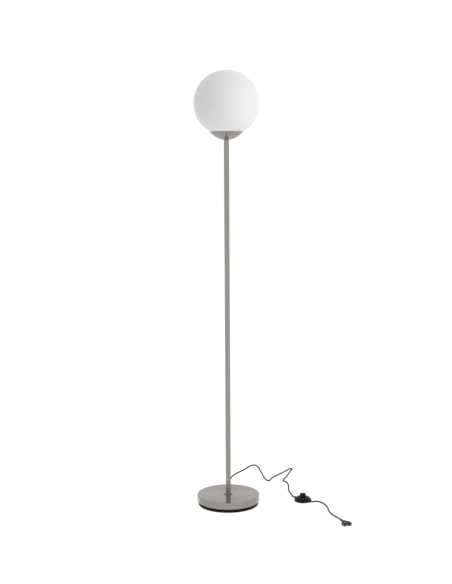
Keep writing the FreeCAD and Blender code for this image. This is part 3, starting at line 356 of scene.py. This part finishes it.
def make_plug():
    """The plug's ribbed body and the grooved sleeve that guards its cord."""
    start = Vector(TO_PLUG[-1])
    along = start - Vector(TO_PLUG[-2])
    along.z = 0
    along.normalize()
    across = along.cross(UP)

    rings = []
    step = PLUG_RELIEF_LENGTH / RELIEF_GROOVES
    least = CORD_DIAMETER / 2 / MM + RELIEF_SKIN
    for groove in range(RELIEF_GROOVES):
        for share, depth in RELIEF_PROFILE:
            place = (groove + share) * step
            radius = (RELIEF_RADII[0] + (RELIEF_RADII[1] - RELIEF_RADII[0])
                      * place / PLUG_RELIEF_LENGTH - RELIEF_GROOVE_DEPTH * depth)
            radius = MM * max(radius, least)
            rings.append(ring_round(MM * (start + along * place), across, UP, radius, radius))
    rings.append(ring_round(MM * (start + along * PLUG_RELIEF_LENGTH), across, UP,
                            MM * RELIEF_RADII[0], MM * RELIEF_RADII[0]))
    finished(skin("ribbed_relief", rings), "stand", "plug_plastic", "plug_relief")

    body_start = start + along * PLUG_RELIEF_LENGTH
    rings = []
    for index in range(PLUG_STEPS + 1):
        place = PLUG_LENGTH * index / PLUG_STEPS
        full = smooth_step(place / PLUG_SHOULDER)
        width = PLUG_HALF_WIDTHS[0] + (PLUG_HALF_WIDTHS[1] - PLUG_HALF_WIDTHS[0]) * full
        height = PLUG_HALF_HEIGHTS[0] + (PLUG_HALF_HEIGHTS[1] - PLUG_HALF_HEIGHTS[0]) * full
        fade = (smooth_step((place - GRIP_START) / GRIP_PITCH)
                * smooth_step((GRIP_END - place) / GRIP_PITCH))
        groove = fade * GRIP_DEPTH * (0.5 - 0.5 * math.cos(math.tau * place / GRIP_PITCH))
        from_end = min(place, PLUG_LENGTH - place)
        inset = max(0.0, PLUG_ROUNDING - from_end)
        rounding = PLUG_ROUNDING - math.sqrt(PLUG_ROUNDING ** 2 - inset ** 2)
        rings.append(ring_round(MM * (body_start + along * place), across, UP,
                                MM * (width - groove - rounding),
                                MM * (height - groove - rounding), power=PLUG_BOXINESS))
    finished(skin("moulded_plug", rings), "stand", "plug_plastic", "plug_body")


# ---------------------------------------------------------------- rolled threads
THREAD_PITCH, THREAD_DEPTH = 3.629, 0.45
THREAD_SEGMENTS, ROWS_A_TURN = 96, 12
CAP_FLOOR, CAP_CONE, CAP_TIP_RADIUS, CAP_INSIDE = 1.5, 3.0, 7.0, 12.25
CAP_TIP_FLAT, CAP_TIP_WIDER, CAP_TIP_RISE = 2, 0.6, 0.3
SHELL_WALL, SHELL_FLOOR_RADIUS = 0.6, 9.3
LEAD_IN = 2                # length over which a thread grows to its full depth
SHELL_PLAIN = 1            # plain height above the shell's floor
CAP_CLEAR = 0.2            # the cap's thread starts to fade this far above the shell


def thread_ring(radius, height, low_share, high_share):
    """One ring of a right-hand rolled thread; the shares lead it out to its root or crest."""
    points = []
    for index in range(THREAD_SEGMENTS):
        angle = math.tau * index / THREAD_SEGMENTS
        wave = 0.5 - 0.5 * math.cos(math.tau * height / THREAD_PITCH - angle)
        wave = wave + (1 - wave) * low_share
        wave = wave * (1 - high_share)
        reach = radius - THREAD_DEPTH * wave
        points.append(Vector((reach * math.cos(angle), reach * math.sin(angle), height)) * MM)
    return points


def plain_ring(radius, height):
    """A round ring at the thread's crest."""
    return thread_ring(radius, height, 0.0, 1.0)


def heights_between(low, high):
    """Heights from low to high, evenly apart and close enough for the thread's form."""
    count = math.ceil((high - low) / THREAD_PITCH * ROWS_A_TURN)
    return [low + (high - low) * index / count for index in range(count + 1)]


def make_rolled_threads():
    """The bulb's screw cap and the screw shell that holds it, with one matching thread."""
    low, high = (corner[2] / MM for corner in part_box("holder_thread"))
    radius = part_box("holder_thread")[1][0] / MM
    shell_top = high
    heights = heights_between(low + SHELL_WALL, high)
    walls = ([(radius, height) for height in heights]
             + [(radius - SHELL_WALL, height) for height in reversed(heights)])
    rings = [plain_ring(SHELL_FLOOR_RADIUS, low), plain_ring(radius, low)]
    for wall, height in walls:
        plain = max(1 - smooth_step((height - low - SHELL_PLAIN) / LEAD_IN),
                    1 - smooth_step(high - height))
        rings.append(thread_ring(wall, height, 0.0, plain))
    rings.append(plain_ring(SHELL_FLOOR_RADIUS, low + SHELL_WALL))
    finished(skin("rolled_shell", rings, "loop"), "stand", "brass", "holder_thread")

    low, high = (corner[2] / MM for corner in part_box("bulb_cap"))
    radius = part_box("bulb_cap")[1][0] / MM
    shoulder = low + CAP_CONE
    rings = [plain_ring(CAP_TIP_RADIUS - CAP_TIP_FLAT, low), plain_ring(CAP_TIP_RADIUS, low),
             plain_ring(CAP_TIP_RADIUS + CAP_TIP_WIDER, low + CAP_TIP_RISE)]
    for height in heights_between(shoulder, high):
        root = 1 - smooth_step((height - shoulder) / LEAD_IN)
        crest = smooth_step(height - shell_top - CAP_CLEAR)
        rings.append(thread_ring(radius, height, root, crest))
    rings += [plain_ring(CAP_INSIDE, high), plain_ring(CAP_INSIDE, shoulder + CAP_FLOOR)]
    finished(skin("rolled_cap", rings), "bulb", "bulb_metal", "bulb_cap")


# ---------------------------------------------------------------- button spring
SPRING_TURNS, SPRING_WIRE, SPRING_RADIUS = 8, 1.0, 5.4
SPRING_STEPS, SPRING_TRAVEL, WIRE_STEPS = 36, 4.0, 10
CLOSED_TURNS = 2           # one at each end, whose wires touch


def make_button_spring():
    """The coil under the foot switch's button, with a closed turn at each end."""
    low, high = (corner[2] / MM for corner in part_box("switch_spring"))
    open_turns = SPRING_TURNS - CLOSED_TURNS
    active = (high - low - (CLOSED_TURNS + 1) * SPRING_WIRE) / open_turns
    rings = []
    for index in range(SPRING_TURNS * SPRING_STEPS + 1):
        turn = index / SPRING_STEPS
        rise = (min(turn, 1) * SPRING_WIRE
                + min(max(turn - 1, 0), open_turns) * active
                + max(turn - SPRING_TURNS + 1, 0) * SPRING_WIRE)
        out = Vector((math.cos(math.tau * turn), math.sin(math.tau * turn), 0))
        centre = (Vector((*SWITCH_CENTRE, low + SPRING_WIRE / 2 + rise)) + out * SPRING_RADIUS)
        rings.append(ring_round(MM * centre, out, UP, MM * SPRING_WIRE / 2,
                                MM * SPRING_WIRE / 2, count=WIRE_STEPS))
    spring = finished(skin("coil_spring", rings), "stand", "spring_steel", "switch_spring")
    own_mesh(spring)


# ---------------------------------------------------------------- cords
CORD_DIAMETER = 0.0056
IN_POLE_HEIGHTS = (700, 115, 93)        # below the cord's top: on the axis, down to its hole
TO_SWITCH = [
    (0.454, 12.992, 93),
    (1.4, 40, 93), (2.4, 70, 78), (3.3, 100, 58), (4.2, 126, 44.2), (5.2, 152, 29.5),
    (6.2, 180, 14), (7, 207, 4.8), (7.2, 240, 2.9), (7.2, 276, 2.9), (8.2, 312, 2.9),
    (15, 346, 2.9), (25.5, 377, 2.9), (36.5, 399, 2.9), (50.6, 419, 2.9), (63.5, 440, 2.9),
    (75.5, 462, 2.9), (86, 483, 2.9), (95, 503, 2.9),
    (106, 522.5, 2.9), (122, 520.5, 2.9), (132, 502, 2.9), (138.5, 468, 2.9), (143, 424, 2.9),
    (148.5, 384, 2.9), (152.5, 350, 2.9), (157, 321, 2.9), (162, 303, 2.9), (165.6, 289, 2.9),
    (175.6, 289.3, 2.9), (179.5, 304, 2.9), (187, 327, 2.9), (203, 355, 2.9),
    (219, 378, 2.9), (235, 402, 2.9), (250, 426, 2.9), (263, 448, 2.9), (273.3, 466.5, 2.9),
    (284, 462, 2.9), (278, 444, 2.9), (270, 416, 2.9), (261.8, 388, 2.9), (255, 360, 2.9),
    (247.5, 335, 2.9), (240, 316, 2.9), (232.5, 300, 2.9), (234, 283.5, 2.9),
    (243, 273, 2.9), (250, 255, 2.9), (252, 230, 2.9), (251, 200, 2.9), (249, 168, 2.9),
    (249.5, 140, 2.9), (252.5, 114, 4), (256.5, 93, 5.6), (258.4, 76, 6.6), (259.1, 61.1, 6.6),
    (267.274, 53.765, 6.6),
]
TO_PLUG = [
    (326.726, 0.235, 6.6),
    (333.4, -5.8, 6.6), (345, -5.5, 8.8), (357, -6.5, 8.2), (368, -12, 6), (377.5, -23, 4),
    (384, -41, 2.9), (387, -68, 2.9), (387.5, -97, 2.9), (391, -125, 2.9), (397, -155, 4),
    (411, -190, 7),
    (420, -214, 7),
]
SWITCH_CENTRE = Vector((297, 27))
SWITCH_BEARING = math.radians(-42)
LEAD_ENDS = (23, 40)       # from the switch's centre: the terminal and the collar's mouth
CORD_ROUNDNESS, CORD_SMOOTHNESS = 5, 10


def cord_curve(name, *routes):
    """A round flex along a smooth line, or several, that each route's points steer."""
    curve = bpy.data.curves.new(name, "CURVE")
    curve.dimensions = "3D"
    curve.bevel_depth = CORD_DIAMETER / 2
    curve.bevel_resolution, curve.resolution_u = CORD_ROUNDNESS, CORD_SMOOTHNESS
    curve.use_fill_caps = True
    for route in routes:
        spline = curve.splines.new("NURBS")
        spline.points.add(len(route) - 1)
        for point, place in zip(spline.points, route):
            point.co = (*(MM * number for number in place), 1)
        spline.order_u = 3
        spline.use_endpoint_u = True
    piece = bpy.data.objects.new(name, curve)
    bpy.context.scene.collection.objects.link(piece)
    return piece


def make_cords():
    """The cord's runs: to the switch, inside the pole, inside the switch, and to the plug."""
    to_switch = cord_curve("flex_to_switch", TO_SWITCH)
    finished(to_switch, "stand", "cord_jacket", "cord_to_switch")
    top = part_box("pole_cord")[1][2] / MM
    in_pole = cord_curve("flex_in_pole", [*((0, 0, height) for height in (top, *IN_POLE_HEIGHTS)),
                                          TO_SWITCH[0]])
    finished(in_pole, "stand", "cord_jacket", "pole_cord")
    near, far = LEAD_ENDS
    ends = [[(SWITCH_CENTRE.x + reach * math.cos(SWITCH_BEARING) * side,
              SWITCH_CENTRE.y + reach * math.sin(SWITCH_BEARING) * side, TO_PLUG[0][2])
             for reach in (near, (near + far) / 2, far)] for side in (-1, 1)]
    finished(cord_curve("flex_in_switch", *ends), "stand", "cord_jacket", "switch_leads")
    to_plug = cord_curve("flex_to_plug", TO_PLUG)
    finished(to_plug, "stand", "cord_jacket", "cord_to_plug")


make_plug()
make_cords()
make_rolled_threads()
make_button_spring()


# ---------------------------------------------------------------- camera
FRAME_WIDTH, FRAME_HEIGHT = 452, 584
FOCAL_PIXELS = 1017.417
PITCH, ROLL = 0.11661, -0.0057
CAMERA_PLACE = Vector((-4.806, -3909.508, 1302.296)) * MM
SENSOR_WIDTH = 36


def make_camera():
    """The camera fitted to the photograph: looking along +Y, tilted a little down."""
    data = bpy.data.cameras.new("photograph_view")
    data.sensor_fit = "AUTO"
    data.sensor_width = SENSOR_WIDTH
    data.lens = FOCAL_PIXELS / max(FRAME_WIDTH, FRAME_HEIGHT) * SENSOR_WIDTH
    data.clip_start, data.clip_end = 0.1, 60
    camera = bpy.data.objects.new("photograph_view", data)
    bpy.context.scene.collection.objects.link(camera)
    forward = Vector((0, math.cos(PITCH), -math.sin(PITCH)))
    right = Vector((1, 0, 0))
    up = right.cross(forward)
    turned_right = math.cos(ROLL) * right + math.sin(ROLL) * up
    turned_up = math.cos(ROLL) * up - math.sin(ROLL) * right
    axes = Matrix((turned_right, turned_up, -forward)).transposed()
    camera.matrix_world = Matrix.Translation(CAMERA_PLACE) @ axes.to_4x4()
    bpy.context.scene.camera = camera


make_camera()


# ---------------------------------------------------------------- floor and light
FLOOR_RADIUS, FLOOR_SEGMENTS = 14.0, 96
FLOOR_GREY, PAPER_CHANGE = 0.25, 0.02   # the paper's own colour, and how much it varies
FLOOR_GLOW = 0.87          # added for the camera, so that the lit floor is white
DIFFUSE_SHARE = 0.88       # share of that glow that lights the lamp from below
# the studio round the lamp, by azimuth in degrees from the camera's side towards +X:
# (from, to, level, softness of the edges)
PANELS = ((-62, 4, 0.12, 8), (12, 66, 1.94, 7), (66, 100, 0.8, 6),
          (-118, -70, 1.12, 8), (122, 180, 0.8, 8), (-180, -122, 0.95, 8))
WHITE_LEVEL = 0.78         # overhead and between the panels
LEFT_TINT, RIGHT_TINT = (1.0, 0.965, 0.94), (0.965, 0.96, 1.0)   # warm left, cool right
CEILING_START, CEILING_FULL = 0.55, 0.95  # heights on the unit sphere where the room turns white
KEY_SIZE, KEY_POWER = 1.2, 7
KEY_PLACE, KEY_AIM = Vector((2.2, -1.4, 2.8)), Vector((0, 0, 0.9))


def between(tree, angle, limits, soft):
    """1 where an angle in radians is between two limits in degrees, with soft edges."""
    low, high = (math.radians(limit) for limit in limits)
    edge = math.radians(soft)
    rising = spread(tree, angle, 0.0, 1.0, low - edge, low + edge) if limits[0] > -180 else 1.0
    falling = spread(tree, angle, 1.0, 0.0, high - edge, high + edge) if limits[1] < 180 else 1.0
    return product(tree, rising, falling)


def azimuth_of(tree, vector):
    """The azimuth of a vector or place round the lamp in radians, and its third coordinate."""
    split = tree.nodes.new("ShaderNodeSeparateXYZ")
    link(tree, vector, split.inputs[0])
    x, y, z = split.outputs
    return value_of(tree, "ARCTAN2", x, product(tree, y, -1.0)), z


def panel_level(tree, azimuth, plain, panels):
    """The level at an azimuth: a plain level with panels in it."""
    level = plain
    for start, end, panel, soft in panels:
        share = between(tree, azimuth, (start, end), soft)
        level = total(tree, level, product(tree, share, panel - plain))
    return level


def background_rays(tree):
    """The Light Path outputs, and 1 for rays that show the white background, in metal too."""
    path = tree.nodes.new("ShaderNodeLightPath").outputs
    clear = value_of(tree, "MAXIMUM", path["Is Camera Ray"], path["Is Transmission Ray"])
    return path, value_of(tree, "MAXIMUM", clear, path["Is Glossy Ray"])


def make_floor():
    """A white floor that keeps the lamp's soft shadow and can be looked through from below."""
    mesh = bpy.data.meshes.new("studio_floor")
    build = bmesh.new()
    bmesh.ops.create_circle(build, cap_ends=True, segments=FLOOR_SEGMENTS,
                             radius=FLOOR_RADIUS)
    build.to_mesh(mesh)
    build.free()
    floor = bpy.data.objects.new("studio_floor", mesh)
    bpy.context.scene.collection.objects.link(floor)
    material, tree, principled = shader("studio_floor_white", 0.9)
    paper = noise(tree, position(tree), PAPER_CLOUDS, 2.0)
    link(tree, tint(tree, paper, (FLOOR_GREY,) * 3, (FLOOR_GREY + PAPER_CHANGE,) * 3),
         principled.inputs["Base Color"])
    principled.inputs["Specular IOR Level"].default_value = 0.0
    path, white = background_rays(tree)
    below = product(tree, path["Is Diffuse Ray"], DIFFUSE_SHARE)
    glow = product(tree, value_of(tree, "MAXIMUM", white, below), FLOOR_GLOW)
    principled.inputs["Emission Color"].default_value = (1, 1, 1, 1)
    link(tree, glow, principled.inputs["Emission Strength"])
    clear = tree.nodes.new("ShaderNodeBsdfTransparent")
    chosen = tree.nodes.new("ShaderNodeMixShader")
    link(tree, tree.nodes.new("ShaderNodeNewGeometry").outputs["Backfacing"], chosen.inputs[0])
    link(tree, principled.outputs[0], chosen.inputs[1])
    link(tree, clear.outputs[0], chosen.inputs[2])
    link(tree, chosen.outputs[0], tree.nodes["Material Output"].inputs["Surface"])
    mesh.materials.append(material)


def make_studio_light():
    """Soft light from all round: brightest on the right, darkest left of the camera."""
    world = bpy.data.worlds.new("studio")
    bpy.context.scene.world = world
    world.use_nodes = True
    tree = world.node_tree
    azimuth, height = azimuth_of(tree, tree.nodes.new("ShaderNodeTexCoord").outputs["Generated"])
    low = spread(tree, height, 1.0, 0.0, CEILING_START, CEILING_FULL)
    around = panel_level(tree, azimuth, WHITE_LEVEL, PANELS)
    change = product(tree, low, value_of(tree, "SUBTRACT", around, WHITE_LEVEL))
    level = total(tree, WHITE_LEVEL, change)
    white = background_rays(tree)[1]
    other = product(tree, level, value_of(tree, "SUBTRACT", 1.0, white))
    link(tree, total(tree, other, white), tree.nodes["Background"].inputs["Strength"])
    side = value_of(tree, "SINE", azimuth)
    room_tint = tint(tree, spread(tree, side, 0.0, 1.0, -1.0, 1.0), LEFT_TINT, RIGHT_TINT)
    colour = tree.nodes.new("ShaderNodeMix")
    colour.data_type = "RGBA"
    link(tree, white, colour.inputs["Factor"])
    # a colour mix has its two colours at inputs 6 and 7, and its result at output 2
    link(tree, room_tint, colour.inputs[6])
    colour.inputs[7].default_value = (1, 1, 1, 1)
    link(tree, colour.outputs[2], tree.nodes["Background"].inputs["Color"])


def make_key_lamp():
    """A soft lamp high on the right, which gives the lamp's shadow its direction."""
    data = bpy.data.lights.new("key_lamp", "AREA")
    data.shape = "RECTANGLE"
    data.size, data.size_y = KEY_SIZE, KEY_SIZE
    data.energy = KEY_POWER
    lamp = bpy.data.objects.new("key_lamp", data)
    bpy.context.scene.collection.objects.link(lamp)
    lamp.location = KEY_PLACE
    lamp.rotation_mode = "QUATERNION"
    lamp.rotation_quaternion = (KEY_AIM - KEY_PLACE).to_track_quat("-Z", "Y")


make_floor()
make_studio_light()
make_key_lamp()
bpy.context.scene.view_settings.view_transform = "Standard"
